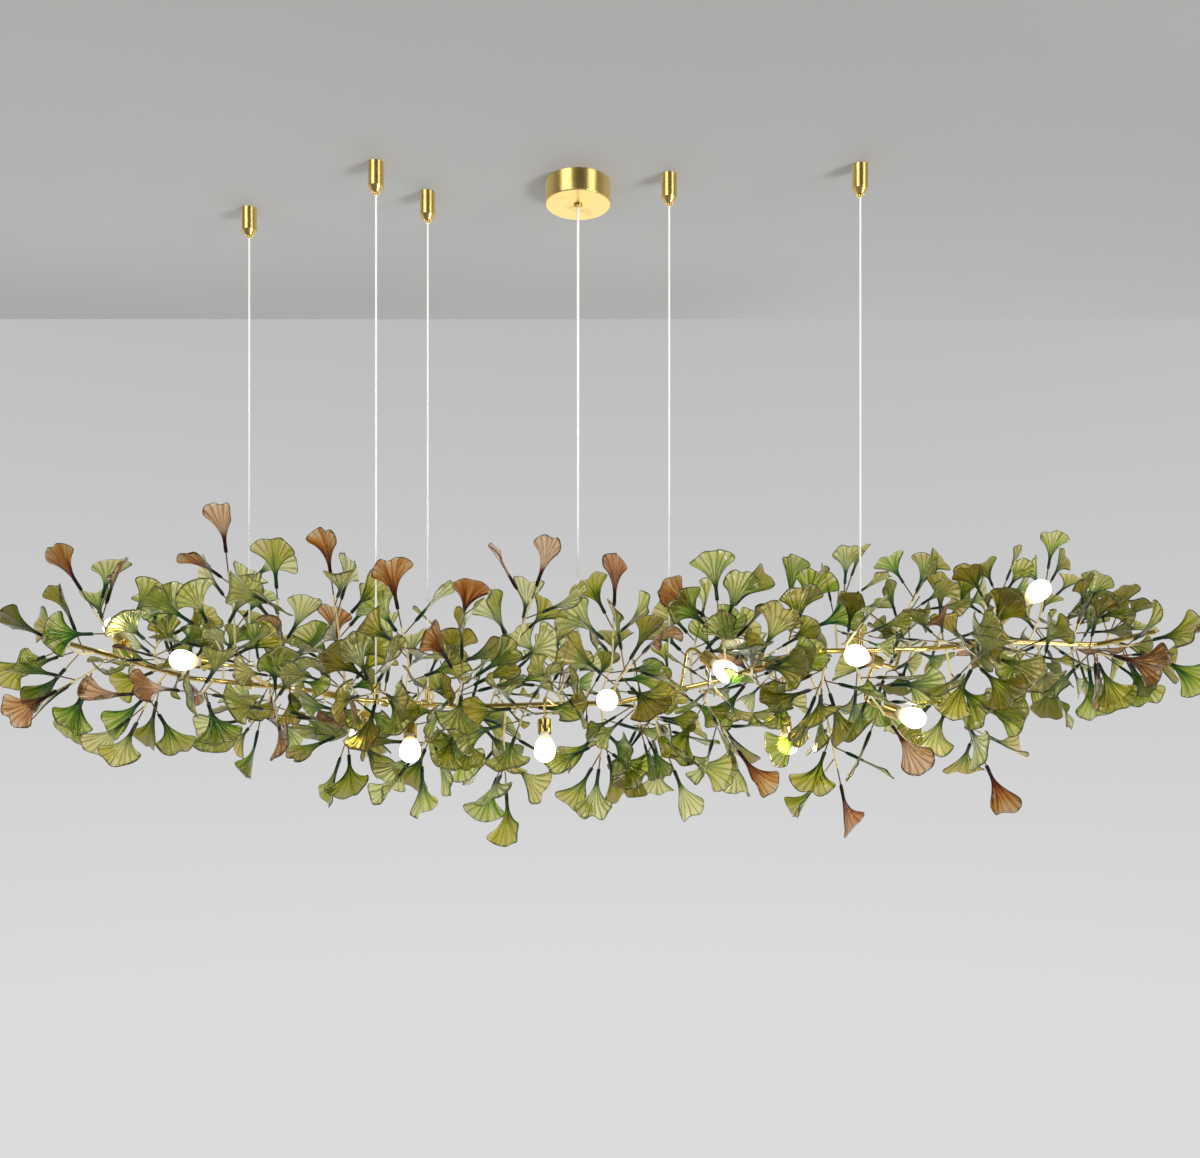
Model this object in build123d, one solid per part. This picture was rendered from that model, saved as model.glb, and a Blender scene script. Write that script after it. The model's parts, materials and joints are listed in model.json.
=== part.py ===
from build123d import *
import math
import os
import random

os.makedirs("parts", exist_ok=True)

# Frame: millimetres, +Z up, X along the branch, Y away from the viewer.
# The origin is on the ceiling at the centre of the canopy, so everything hangs below Z = 0.

# Canopy: spun brass cup over a steel strap that is screwed to the ceiling
canopy_height = 32.0
canopy_wall = 1.6
canopy_rim_radius = 2.0
strap_length = 84.0
strap_end_gap = 5.4
canopy_d = strap_length + 2 * (strap_end_gap + canopy_wall)
strap_width = 20.0
strap_thickness = 2.0
strap_ear_drop = 24.0
strap_slot_spacing = 60.0
strap_slot_length = 12.0
strap_slot_width = 5.0
canopy_screw_d = 4.0
canopy_screw_boss_d = 9.0
canopy_screw_boss_depth = 3.0
terminal_length = 30.0
terminal_width = 16.0
terminal_height = 14.0
terminal_hole_d = 3.4
terminal_pitch = 9.0

# Cord grip: a bush with a slotted collet face, held in the canopy floor by a nut
grip_thread_d = 10.0
grip_thread_length = 8.0
grip_face_d = 14.0
grip_face_height = 4.0
grip_slit = 1.4
grip_nut_width = 15.0
grip_nut_height = 3.0

# Ceiling anchors: a threaded boss, a brass cap that screws over it and a wire clutch in the cap
cap_d = 23.0
cap_height = 42.0
cap_taper_height = 8.0
cap_nose_d = 12.0
cap_floor = 12.0
boss_d = 18.0
boss_height = 14.0
boss_stud_d = 6.0
boss_stud_depth = 10.0
clutch_d = 8.0
clutch_nose = 4.0
clutch_flange_d = 12.0
clutch_flange_height = 4.0
clutch_tail = 3.0

# Suspension wires and power cord
wire_d = 2.8
cord_d = 3.8
wire_tail = 4.0
running_gap = 0.3
seat_gap = 0.15
thread_gap = 0.15

# Trunk: bent brass tube in three lengths; corner points of its centre line, (X, Y, Z)
trunk_d = 8.0
trunk_bore = 5.6
trunk_bend_radius = 70.0
trunk_points = [
    (-770.0, 24.0, -690.0),
    (-610.0, 70.0, -740.0),
    (-430.0, 88.0, -758.0),
    (-335.0, 10.0, -774.0),
    (-170.0, 0.0, -784.0),
    (60.0, 0.0, -778.0),
    (210.0, -52.0, -745.0),
    (330.0, -60.0, -704.0),
    (500.0, -45.0, -700.0),
    (640.0, 10.0, -686.0),
    (790.0, 25.0, -690.0),
    (865.0, 5.0, -672.0),
]
coupler_runs = (2, 8)
coupler_d = 12.0
coupler_length = 32.0
coupler_butt_gap = 1.0
plug_length = 10.0
plug_head_d = 9.0
set_screw_d = 3.0

# Hangers: trunk station of each suspension wire and how far the wire stands off to the side
hanger_stations = [(-520.0, 0.0), (-290.0, -67.0), (-230.0, 24.0), (135.0, 0.0), (410.0, 0.0)]
collar_d = 15.0
collar_length = 12.0
hanger_arm_d = 5.0
hanger_post_d = 8.0
hanger_post_height = 26.0
hanger_socket_depth = 9.0
hub_d = 18.0
hub_length = 26.0
hub_neck_d = 11.0
hub_neck_height = 24.0
hub_socket_depth = 12.0

# Lamps: capsule bulbs with two pins, on bent arms.
# Each row: trunk station of the arm, centre of the bulb, direction in which the bulb points
lamp_plan = [
    (-490.0, (-572.0, -60.0, -716.0), (-0.80, -0.50, 0.10)),
    (-255.0, (-237.0, -80.0, -848.0), (0.10, -0.60, -0.80)),
    (-35.0, (-45.0, -90.0, -847.0), (0.02, -0.30, -0.95)),
    (72.0, (43.0, -110.0, -774.0), (0.05, -1.00, 0.10)),
    (152.0, (211.0, -100.0, -735.0), (0.60, -0.60, -0.50)),
    (470.0, (386.0, -120.0, -712.0), (-0.80, -0.50, 0.20)),
    (434.0, (481.0, -80.0, -800.0), (0.75, -0.60, -0.30)),
    (655.0, (672.0, -50.0, -614.0), (0.50, -0.60, 0.60)),
    (-665.0, (-730.0, 70.0, -660.0), (-0.60, 0.50, 0.60)),
    (-318.0, (-350.0, 95.0, -830.0), (-0.30, 0.60, -0.74)),
    (300.0, (323.0, 40.0, -843.0), (0.20, 0.40, -0.90)),
]
lamp_arm_d = 5.0
lamp_arm_straight = 35.0
lamp_arm_bend_radius = 14.0
lamp_cup_d = 20.0
lamp_cup_height = 20.0
lamp_cup_wall = 1.2
lamp_cup_floor = 2.0
lamp_socket_height = 12.0
pin_d = 1.7
pin_length = 6.0
pin_spacing = 9.0
bulb_base_d = 13.0
bulb_base_height = 9.0
bulb_d = 30.0
bulb_length = 48.0
bulb_neck_d = 10.0
bulb_travel = 25.0

# Ginkgo leaves: a stalk that opens into a two-lobed fan, in two sizes and three cup depths
leaf_length = 78.0
stalk_length = 25.0
stalk_d = 4.6
fan_width = 70.0
fan_tip_station = 55.0
fan_notch_depth = 9.0
leaf_thickness = 2.4
small_leaf_scale = 0.74
cup_rises = (4.0, 9.0, 15.0)
fan_droop = 4.0

# Twigs: soldered wire. Each row: trunk station of the root, centre of the end leaf,
# number of leaves, which of them are amber, and whether the leaves are the small size
stem_d = 3.2
side_stem_d = 2.0
side_stem_least = 15.0
side_stem_spread = 20.0
stem_bend_radius = 45.0
stem_bulge = 16.0
leaf_clearance = 10.5
short_leaf_clearance = 8.0
stem_clearance = 8.0
steepest_root = 0.8
placing_tries = 46
twig_plan = {
    "far_left": [
        (-700, (-752, -20, -584), 7, (0, 2), False),
        (-735, (-826, -34, -680), 6, (), False),
        (-720, (-787, -50, -786), 7, (0,), False),
        (-640, (-652, -60, -829), 7, (3,), False),
        (-652, (-631, 10, -623), 7, (), False),
        (-605, (-735, 190, -690), 7, (4,), False),
        (-560, (-544, -40, -628), 7, (), False),
        (-540, (-540, 30, -514), 8, (0, 1), False),
        (-575, (-530, -130, -774), 7, (2,), False),
        (-482, (-560, 160, -847), 7, (), False),
        (-468, (-420, -110, -823), 7, (0, 1), False),
        (-452, (-452, -30, -568), 8, (4,), False),
    ],
    "left": [
        (-352, (-370, -20, -555), 8, (0,), False),
        (-310, (-387, 20, -889), 7, (), False),
        (-326, (-440, 190, -690), 8, (2,), False),
        (-262, (-257, -50, -607), 8, (0,), False),
        (-275, (-301, -170, -761), 8, (), False),
        (-208, (-259, -40, -905), 8, (), False),
        (-196, (-185, 60, -618), 7, (0,), False),
        (-182, (-141, -170, -727), 8, (3,), False),
        (-145, (-215, 180, -807), 8, (), False),
        (-120, (-48, -30, -565), 9, (0, 1), False),
        (-108, (-107, -30, -943), 8, (), False),
        (-70, (-90, -140, -829), 7, (), False),
        (-52, (-34, 170, -674), 8, (1,), False),
    ],
    "right": [
        (30, (65, -30, -595), 8, (0,), False),
        (34, (33, -30, -921), 8, (), False),
        (52, (94, -150, -693), 7, (0,), False),
        (92, (116, 170, -824), 8, (), False),
        (112, (151, -20, -922), 8, (), False),
        (168, (186, 30, -621), 7, (), False),
        (178, (249, -60, -882), 8, (0,), False),
        (215, (199, -20, -574), 8, (0, 3), False),
        (238, (253, -170, -721), 8, (), False),
        (250, (316, 170, -757), 8, (2,), False),
        (304, (336, -20, -604), 8, (), False),
        (322, (401, -30, -933), 9, (0,), False),
        (362, (324, -160, -801), 8, (), False),
        (376, (410, 10, -570), 9, (), True),
    ],
    "far_right": [
        (446, (499, 170, -757), 8, (), False),
        (456, (521, -20, -574), 9, (), True),
        (396, (455, -125, -850), 7, (0,), False),
        (524, (614, 80, -616), 7, (), False),
        (542, (610, -20, -900), 9, (0,), False),
        (602, (517, -160, -747), 8, (), False),
        (626, (636, -10, -568), 9, (), True),
        (682, (715, 0, -557), 9, (), True),
        (694, (669, -90, -760), 7, (), False),
        (740, (768, -30, -612), 8, (), True),
        (760, (738, -120, -712), 7, (0, 1, 2), False),
        (722, (766, 170, -674), 8, (), False),
        (808, (888, -48, -694), 7, (0,), False),
        (798, (850, 60, -630), 6, (), True),
    ],
}

# Short twigs that fill in close to the trunk, once the long ones have their leaves
short_twig_plan = {
    "far_left": [
        (-620, (-604, -50, -694), 5, (1,), True),
        (-588, (-606, 178, -700), 5, (), True),
        (-502, (-486, -42, -700), 5, (), True),
        (-508, (-500, 190, -742), 5, (3,), True),
        (-440, (-446, -36, -730), 5, (), True),
    ],
    "left": [
        (-412, (-424, 180, -800), 5, (), True),
        (-340, (-350, -110, -738), 5, (2,), True),
        (-246, (-232, 122, -742), 5, (), True),
        (-222, (-214, -112, -742), 5, (), True),
        (-168, (-176, -116, -800), 5, (), True),
        (-132, (-120, 116, -744), 5, (1,), True),
        (-24, (-16, -118, -742), 5, (), True),
    ],
    "right": [
        (18, (12, 114, -742), 5, (), True),
        (82, (96, -112, -838), 5, (), True),
        (122, (136, 84, -716), 5, (), True),
        (196, (206, -164, -784), 5, (2,), True),
        (226, (214, 58, -700), 5, (), True),
        (270, (282, -168, -692), 5, (), True),
        (284, (276, 44, -768), 5, (1,), True),
        (390, (382, -176, -664), 5, (), True),
    ],
    "far_right": [
        (496, (506, 62, -668), 5, (), True),
        (530, (520, -146, -690), 5, (2,), True),
        (642, (652, -102, -720), 5, (), True),
        (668, (676, 130, -716), 5, (1,), True),
        (776, (790, -92, -728), 5, (), True),
        (768, (772, 140, -726), 5, (), True),
    ],
}


# Vectors as plain (x, y, z) tuples, for the many small sums of the leaf layout
def add(a, b):
    return (a[0] + b[0], a[1] + b[1], a[2] + b[2])


def scaled(a, k):
    return (a[0] * k, a[1] * k, a[2] * k)


def toward(a, b):
    return (b[0] - a[0], b[1] - a[1], b[2] - a[2])


def dot(a, b):
    return a[0] * b[0] + a[1] * b[1] + a[2] * b[2]


def cross(a, b):
    return (a[1] * b[2] - a[2] * b[1], a[2] * b[0] - a[0] * b[2], a[0] * b[1] - a[1] * b[0])


def size_of(a):
    return math.sqrt(dot(a, a))


def unit(a):
    return scaled(a, 1.0 / size_of(a))


def square_to(a, axis):
    # the part of a that is square to a unit axis, made unit length
    return unit(add(a, scaled(axis, -dot(a, axis))))


def points_between(a, b, step):
    count = max(1, math.ceil(size_of(toward(a, b)) / step))
    return [add(a, scaled(toward(a, b), i / count)) for i in range(count + 1)]


def random_direction(rng):
    z = rng.uniform(-1.0, 1.0)
    turn = rng.uniform(0.0, 2.0 * math.pi)
    r = math.sqrt(1.0 - z * z)
    return (r * math.cos(turn), r * math.sin(turn), z)


# Solids
def rod(start, end, diameter):
    plane = Plane(origin=start, z_dir=toward(start, end))
    upright = (Align.CENTER, Align.CENTER, Align.MIN)
    return plane * Cylinder(diameter / 2, size_of(toward(start, end)), align=upright)


def bend_radius(points, largest):
    # as large a bend as the two runs of a start, knee and end leave room for
    start, knee, end = points
    turn = Vector(*toward(start, knee)).get_angle(Vector(*toward(knee, end)))
    shorter = min(size_of(toward(start, knee)), size_of(toward(knee, end)))
    return min(largest, 0.45 * shorter / math.tan(math.radians(turn / 2)))


def bent_line(points, largest):
    return FilletPolyline(*points, radius=bend_radius(points, largest))


def tube_along(path, diameter, bore=0.0):
    profile = Circle(diameter / 2)
    if bore > 0:
        profile -= Circle(bore / 2)
    return sweep(Plane(origin=path @ 0, z_dir=path % 0) * profile, path=path)


def turned(profile_points):
    # a solid of revolution about Z from (radius, height) points
    outline = [(r, 0, z) for r, z in profile_points]
    return revolve(make_face(Polyline(*outline, close=True)), axis=Axis.Z)


def along(start, direction):
    return Plane(origin=start, z_dir=direction)


def save(node, solids):
    export_step(Compound(solids), f"parts/{node}.step")
    print(node, len(solids))


# Canopy on the ceiling
def canopy_bracket():
    ear_x = strap_length / 2 - strap_thickness / 2
    strap = Pos(0, 0, -strap_thickness / 2) * Box(strap_length, strap_width, strap_thickness)
    ear = Box(strap_thickness, strap_width, strap_ear_drop)
    body = strap
    for side in (-1, 1):
        body += Pos(side * ear_x, 0, -strap_ear_drop / 2) * ear
    folds = body.edges().filter_by(Axis.Y).group_by(Axis.Z)[-1]
    body = fillet(folds, strap_thickness * 0.8)
    slot = extrude(SlotOverall(strap_slot_length, strap_slot_width), strap_thickness, both=True)
    for side in (-1, 1):
        body -= Pos(side * strap_slot_spacing / 2, 0, 0) * slot
    return body


def terminal_block():
    top = -strap_thickness
    block = Pos(0, 0, top - terminal_height / 2) * Box(terminal_length, terminal_width, terminal_height)
    block = chamfer(block.edges().filter_by(Axis.Z), 1.5)
    hole = Rot(90, 0, 0) * Cylinder(terminal_hole_d / 2, terminal_width / 2)
    for column in (-1, 0, 1):
        block -= Pos(column * terminal_pitch, -terminal_width / 2, top - terminal_height / 2) * hole
    return block


def canopy_screw_line(side):
    # the screw's axis, from outside the wall to just short of the strap's ear
    height = -strap_ear_drop * 0.6
    outside = (side * (canopy_d / 2 - canopy_wall * 0.3), 0, height)
    inside = (side * (strap_length / 2 + running_gap), 0, height)
    return outside, inside


def canopy_cover():
    outer = canopy_d / 2
    inner = outer - canopy_wall
    floor_top = -canopy_height + canopy_wall
    cup = turned([(0, floor_top), (inner, floor_top), (inner, 0), (outer, 0),
                  (outer, -canopy_height), (0, -canopy_height)])
    rim = cup.edges().filter_by(GeomType.CIRCLE).group_by(Axis.Z)[0].sort_by(SortBy.RADIUS)[-1:]
    cup = fillet(rim, canopy_rim_radius)
    for side in (-1, 1):
        outside, inside = canopy_screw_line(side)
        wall_inside = (side * (inner - canopy_screw_boss_depth), 0, outside[2])
        bush = rod((side * (inner + canopy_wall / 2), 0, outside[2]), wall_inside, canopy_screw_boss_d)
        cup += bush
        cup -= rod((side * (outer + 1), 0, outside[2]), inside, canopy_screw_d + 2 * thread_gap)
    return cup - Pos(0, 0, -canopy_height) * Cylinder(grip_thread_d / 2 + thread_gap, 4 * canopy_wall)


def canopy_screws():
    return [rod(*canopy_screw_line(side), canopy_screw_d) for side in (-1, 1)]


def cord_grip():
    floor_bottom = -canopy_height
    bore = cord_d / 2 + running_gap
    face, thread = grip_face_d / 2, grip_thread_d / 2
    bush = turned([(bore, floor_bottom - grip_face_height), (face * 0.72, floor_bottom - grip_face_height),
                   (face, floor_bottom - grip_face_height * 0.45), (face, floor_bottom), (thread, floor_bottom),
                   (thread, floor_bottom + grip_thread_length), (bore, floor_bottom + grip_thread_length)])
    slit = Pos(0, 0, floor_bottom - grip_face_height) * Box(grip_face_d, grip_slit, grip_face_height * 0.9)
    for turn in (45, 135):
        bush -= Rot(0, 0, turn) * slit
    return bush


def cord_grip_nut():
    seat = -canopy_height + canopy_wall
    nut = extrude(RegularPolygon(grip_nut_width / 2, 6, major_radius=False), grip_nut_height)
    nut = Pos(0, 0, seat) * nut
    return nut - Pos(0, 0, seat) * Cylinder(grip_thread_d / 2 + thread_gap, 3 * grip_nut_height)


# Ceiling anchors, each modelled about its own wire
def anchor_boss():
    boss = Pos(0, 0, -boss_height / 2) * Cylinder(boss_d / 2, boss_height)
    boss = chamfer(boss.edges().filter_by(GeomType.CIRCLE).group_by(Axis.Z)[0], 1.0)
    return boss - Pos(0, 0, -boss_stud_depth / 2) * Cylinder(boss_stud_d / 2, boss_stud_depth)


def anchor_cap():
    outer, nose = cap_d / 2, cap_nose_d / 2
    bore = boss_d / 2 + thread_gap
    guide = clutch_d / 2 + running_gap
    floor_top = -cap_height + cap_floor
    cap = turned([(guide, -cap_height), (nose, -cap_height), (outer, -cap_height + cap_taper_height),
                  (outer, 0), (bore, 0), (bore, floor_top), (guide, floor_top)])
    shoulder = cap.edges().filter_by(GeomType.CIRCLE).filter_by_position(
        Axis.Z, -cap_height + cap_taper_height * 0.9, -cap_height + cap_taper_height * 1.1)
    return fillet(shoulder, cap_taper_height * 0.5)


def wire_clutch():
    floor_top = -cap_height + cap_floor
    bore = wire_d / 2 + running_gap
    flange_top = floor_top + clutch_flange_height
    nose = -cap_height - clutch_nose
    body = clutch_d / 2
    return turned([(bore, nose), (body * 0.7, nose), (body, nose + clutch_nose * 0.3), (body, floor_top),
                   (clutch_flange_d / 2, floor_top), (clutch_flange_d / 2, flange_top), (body, flange_top),
                   (body, flange_top + clutch_tail), (bore, flange_top + clutch_tail)])


# Trunk line and stations on it
trunk_line = FilletPolyline(*trunk_points, radius=trunk_bend_radius)


def trunk_at(station):
    # point and direction of the trunk's centre line where it crosses X = station
    low, high = 0.0, 1.0
    for _ in range(40):
        middle = (low + high) / 2
        if trunk_line.position_at(middle).X < station:
            low = middle
        else:
            high = middle
    return tuple(trunk_line.position_at(low)), tuple(trunk_line.tangent_at(low))


def coupler_centre(run):
    a, b = trunk_points[run], trunk_points[run + 1]
    return add(a, scaled(toward(a, b), 0.5)), unit(toward(a, b))


def trunk_tubes():
    pieces = []
    start, begin = trunk_points[0], 1
    for run in coupler_runs:
        centre, direction = coupler_centre(run)
        stop = add(centre, scaled(direction, -coupler_butt_gap / 2))
        pieces.append([start] + trunk_points[begin:run + 1] + [stop])
        start, begin = add(centre, scaled(direction, coupler_butt_gap / 2)), run + 1
    pieces.append([start] + trunk_points[begin:])
    lines = [FilletPolyline(*points, radius=trunk_bend_radius) for points in pieces]
    return [tube_along(line, trunk_d, trunk_bore) for line in lines]


def bored_collar(centre, direction, diameter, length):
    half = scaled(direction, length / 2)
    collar = rod(add(centre, scaled(half, -1)), add(centre, half), diameter)
    ends = collar.edges().filter_by(GeomType.CIRCLE)
    return chamfer(ends, min(1.0, (diameter - trunk_d) / 5))


def trunk_hole(centre, direction, length):
    reach = scaled(direction, length)
    return rod(add(centre, scaled(reach, -1)), add(centre, reach), trunk_d + 2 * seat_gap)


def set_screw(centre, direction, outer_d):
    # a headless screw in the underside of a collar, and the clearance hole that it needs
    down = square_to((0, 0, -1), direction)
    tip = add(centre, scaled(down, trunk_d / 2 + seat_gap))
    screw = rod(tip, add(centre, scaled(down, outer_d / 2 - 0.2)), set_screw_d)
    return screw, rod(tip, add(centre, scaled(down, outer_d / 2 + 1)), set_screw_d + 2 * thread_gap)


def coupler(run):
    centre, direction = coupler_centre(run)
    sleeve = bored_collar(centre, direction, coupler_d, coupler_length)
    sleeve -= trunk_hole(centre, direction, coupler_length)
    screws = []
    for side in (-1, 1):
        place = add(centre, scaled(direction, side * coupler_length / 4))
        screw, hole = set_screw(place, direction, coupler_d)
        sleeve -= hole
        screws.append(screw)
    return sleeve, screws


def end_plug(end, direction):
    # a domed plug pushed into the open end of the trunk tube
    bore, head = trunk_bore / 2 - seat_gap, plug_head_d / 2
    profile = [(0, -plug_length), (bore, -plug_length), (bore, 0), (head, 0), (head, head * 0.35),
               (head * 0.8, head * 0.75), (head * 0.45, head), (0, head * 1.1)]
    return along(end, direction) * turned(profile)


def hanger(station, offset):
    # collar on the trunk, with a post on it or at the end of a side arm for the wire's lower end
    centre, direction = trunk_at(station)
    post_foot = add(centre, (0, offset, 0))
    post_top = add(post_foot, (0, 0, hanger_post_height))
    body = bored_collar(centre, direction, collar_d, collar_length)
    if offset:
        body += rod(centre, post_foot, hanger_arm_d)
        post_foot = add(post_foot, (0, 0, -hanger_post_d / 2))
    post = rod(post_foot, post_top, hanger_post_d)
    body += chamfer(post.edges().filter_by(GeomType.CIRCLE).group_by(Axis.Z)[-1], 0.8)
    body -= trunk_hole(centre, direction, collar_length)
    socket_floor = add(post_top, (0, 0, -hanger_socket_depth))
    body -= rod(socket_floor, add(post_top, (0, 0, 1)), wire_d + 2 * seat_gap)
    screw, hole = set_screw(centre, direction, collar_d)
    return body - hole, screw, socket_floor


def cord_hub():
    centre, direction = trunk_at(0.0)
    body = bored_collar(centre, direction, hub_d, hub_length)
    top = (0, 0, centre[2] + hub_neck_height)
    neck = rod((0, 0, centre[2]), top, hub_neck_d)
    body += chamfer(neck.edges().filter_by(GeomType.CIRCLE).group_by(Axis.Z)[-1], 1.0)
    body -= trunk_hole(centre, direction, hub_length)
    socket_floor = (0, 0, top[2] - hub_socket_depth)
    body -= rod(socket_floor, (0, 0, top[2] + 1), cord_d + 2 * seat_gap)
    screw, hole = set_screw(centre, direction, hub_d)
    return body - hole, screw, socket_floor


# Lamps, each modelled along +Z from the back of its cup
def lamp_seat():
    return lamp_cup_floor + lamp_socket_height


def bulb_middle():
    return lamp_seat() + bulb_length - bulb_d / 2


def lamp_cup():
    outer = lamp_cup_d / 2
    inner = outer - lamp_cup_wall
    cup = turned([(0, 0), (outer, 0), (outer, lamp_cup_height), (inner, lamp_cup_height),
                  (inner, lamp_cup_floor), (0, lamp_cup_floor)])
    back = cup.edges().filter_by(GeomType.CIRCLE).group_by(Axis.Z)[0]
    return fillet(back, lamp_cup_wall)


def lamp_socket():
    radius = lamp_cup_d / 2 - lamp_cup_wall - seat_gap
    socket = Pos(0, 0, lamp_cup_floor + lamp_socket_height / 2) * Cylinder(radius, lamp_socket_height)
    for side in (-1, 1):
        hole = Cylinder(pin_d / 2 + running_gap, 2 * (pin_length + 1.5))
        socket -= Pos(side * pin_spacing / 2, 0, lamp_seat()) * hole
    return socket


def bulb():
    seat = lamp_seat()
    shoulder = seat + bulb_base_height
    crown = seat + bulb_length - bulb_d / 2
    neck, base, belly = bulb_neck_d / 2, bulb_base_d / 2, bulb_d / 2
    stem = Polyline((0, 0, seat), (base, 0, seat), (base, 0, shoulder), (neck, 0, shoulder))
    flare = TangentArc((belly, 0, crown), (neck, 0, shoulder), tangent=(0, 0, -1))
    dome_middle = (belly * math.sin(math.pi / 4), 0, crown + belly * math.cos(math.pi / 4))
    dome = ThreePointArc((belly, 0, crown), dome_middle, (0, 0, crown + belly))
    centre_line = Line((0, 0, crown + belly), (0, 0, seat))
    body = revolve(make_face([stem, flare, dome, centre_line]), axis=Axis.Z)
    for side in (-1, 1):
        place = side * pin_spacing / 2
        body += rod((place, 0, seat - pin_length), (place, 0, seat + 1), pin_d)
    return body


def lamp_places():
    # back centre and direction of every lamp, from the bulb's centre
    places = []
    for station, centre, direction in lamp_plan:
        direction = unit(direction)
        places.append((station, add(centre, scaled(direction, -bulb_middle())), direction))
    return places


def clear_of_tube(centre, axis, direction, tube_d, wire):
    # where a wire's flat end stands just off a tube that it leaves in a given direction
    cosine = abs(dot(axis, direction))
    sine = math.sqrt(1.0 - cosine * cosine)
    return add(centre, scaled(direction, (tube_d / 2 + seat_gap + wire / 2 * cosine) / sine))


def lamp_arm_points(station, back, direction):
    centre, axis = trunk_at(station)
    knee = add(back, scaled(direction, -lamp_arm_straight))
    start = clear_of_tube(centre, axis, unit(toward(centre, knee)), trunk_d, lamp_arm_d)
    return [start, knee, back]


# Leaves: the outline as (station, half width), from the stalk's end to the tip of a lobe
def leaf_outline(scale):
    neck = stalk_d * 0.55
    side_station = stalk_length + 0.68 * (fan_tip_station - stalk_length)
    lobe_rim = fan_tip_station + 0.62 * (leaf_length - fan_tip_station)
    rows = [(0.0, stalk_d / 2), (stalk_length, neck), (side_station, fan_width * 0.25),
            (fan_tip_station, fan_width / 2), (lobe_rim, fan_width * 0.42), (leaf_length, fan_width * 0.2)]
    return [(station * scale, half * scale) for station, half in rows]


def leaf_height(station, across, scale, rise):
    # the fan cups like part of a cone about its stalk, and droops a little towards its rim
    tip, stalk = fan_tip_station * scale, stalk_length * scale
    if station <= stalk:
        return 0.0
    cup = rise * scale * (across / (fan_width * scale / 2)) ** 2 * tip / station
    return cup - fan_droop * scale * ((station - stalk) / (leaf_length * scale - stalk)) ** 2


def leaf_solid(scale, rise):
    # a closed skin of flat facets: sheets above and below that meet at a thin rim; small leaves have fewer
    (_, seat), (neck_x, neck), (side_x, side), tip, _, lobe = leaf_outline(scale)
    stalk = stalk_d * scale / 2
    half = leaf_thickness * scale / 2

    def point(station, across, lift=0.0):
        return (station, across, leaf_height(station, across, scale, rise) + lift)

    inner_x = side_x + (lobe[0] - side_x) * 0.42
    notch = (leaf_length - fan_notch_depth) * scale
    half_rim = [(side_x, side), tip, lobe] if scale == 1.0 else [tip, lobe]
    margin = [point(x, -y) for x, y in half_rim] + [point(notch, 0)] + [point(x, y) for x, y in half_rim[::-1]]
    faces = []
    for lift in (-1, 1):
        end = (0, 0, lift * seat)
        throat = point(neck_x, 0, lift * stalk * 0.8)
        left, right = point(neck_x, -neck), point(neck_x, neck)
        seat_left, seat_right = (0, -seat, 0), (0, seat, 0)
        crown = point(inner_x, 0, lift * half)
        edge = [throat, left, *margin, right, throat]
        faces += [(seat_left, end, left), (end, throat, left), (end, seat_right, throat),
                  (seat_right, right, throat)]
        faces += [(crown, first, second) for first, second in zip(edge, edge[1:])]
    faces.append(((0, -seat, 0), (0, 0, seat), (0, seat, 0), (0, 0, -seat)))
    return Solid(Shell([Face(Wire.make_polygon(corners, close=True)) for corners in faces]))


def half_width(station, outline):
    for (x0, w0), (x1, w1) in zip(outline, outline[1:]):
        if station <= x1:
            return w0 + (w1 - w0) * (station - x0) / (x1 - x0)
    return outline[-1][1]


def leaf_points(seat, axis, normal, scale, rise):
    # points all over a leaf, past its stalk's end, for keeping leaves apart
    across = cross(normal, axis)
    outline = leaf_outline(scale)
    step = leaf_clearance * 0.68
    points = []
    for i in range(2, math.ceil(leaf_length * scale / step) + 1):
        station = min(i * step, leaf_length * scale - 2)
        half = half_width(station, outline)
        count = max(1, round(2 * half / step) + 1)
        for j in range(count):
            y = 0.0 if count == 1 else -half + 2 * half * j / (count - 1)
            z = leaf_height(station, y, scale, rise)
            place = add(scaled(axis, station), add(scaled(across, y), scaled(normal, z)))
            points.append(add(seat, place))
    return points


class TakenSpace:
    # points that are taken already, sorted into cubes as wide as the clearance
    def __init__(self):
        self.cubes = {}

    def cube(self, point):
        return tuple(math.floor(c / leaf_clearance) for c in point)

    def take(self, points):
        for point in points:
            self.cubes.setdefault(self.cube(point), []).append(point)

    def is_free(self, points, clearance=leaf_clearance):
        near = (-1, 0, 1)
        for point in points:
            i, j, k = self.cube(point)
            for cube in ((i + a, j + b, k + c) for a in near for b in near for c in near):
                for other in self.cubes.get(cube, ()):
                    if size_of(toward(point, other)) < clearance:
                        return False
        return True


def take_lamp(space, back, direction):
    # the cup, the bulb and the way that the bulb comes out
    side = square_to((0.3, 0.5, 0.8), direction)
    other = cross(direction, side)
    step = leaf_clearance * 0.7
    reach = lamp_seat() + bulb_length + bulb_travel
    for i in range(math.ceil(reach / step) + 1):
        radius = lamp_cup_d / 2 if i * step < lamp_cup_height else bulb_d / 2
        for turn in range(8):
            angle = turn * math.pi / 4
            out = add(scaled(side, radius * math.cos(angle)), scaled(other, radius * math.sin(angle)))
            space.take([add(add(back, scaled(direction, min(i * step, reach))), out)])


def trunk_space():
    trunk = TakenSpace()
    count = math.ceil(trunk_line.length / (leaf_clearance * 0.5))
    trunk.take([tuple(trunk_line.position_at(i / count)) for i in range(count + 1)])
    for end, sign in ((0, -1), (1, 1)):
        tip = scaled(tuple(trunk_line % end), sign * plug_head_d / 2)
        trunk.take([add(tuple(trunk_line @ end), tip)])
    return trunk


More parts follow.
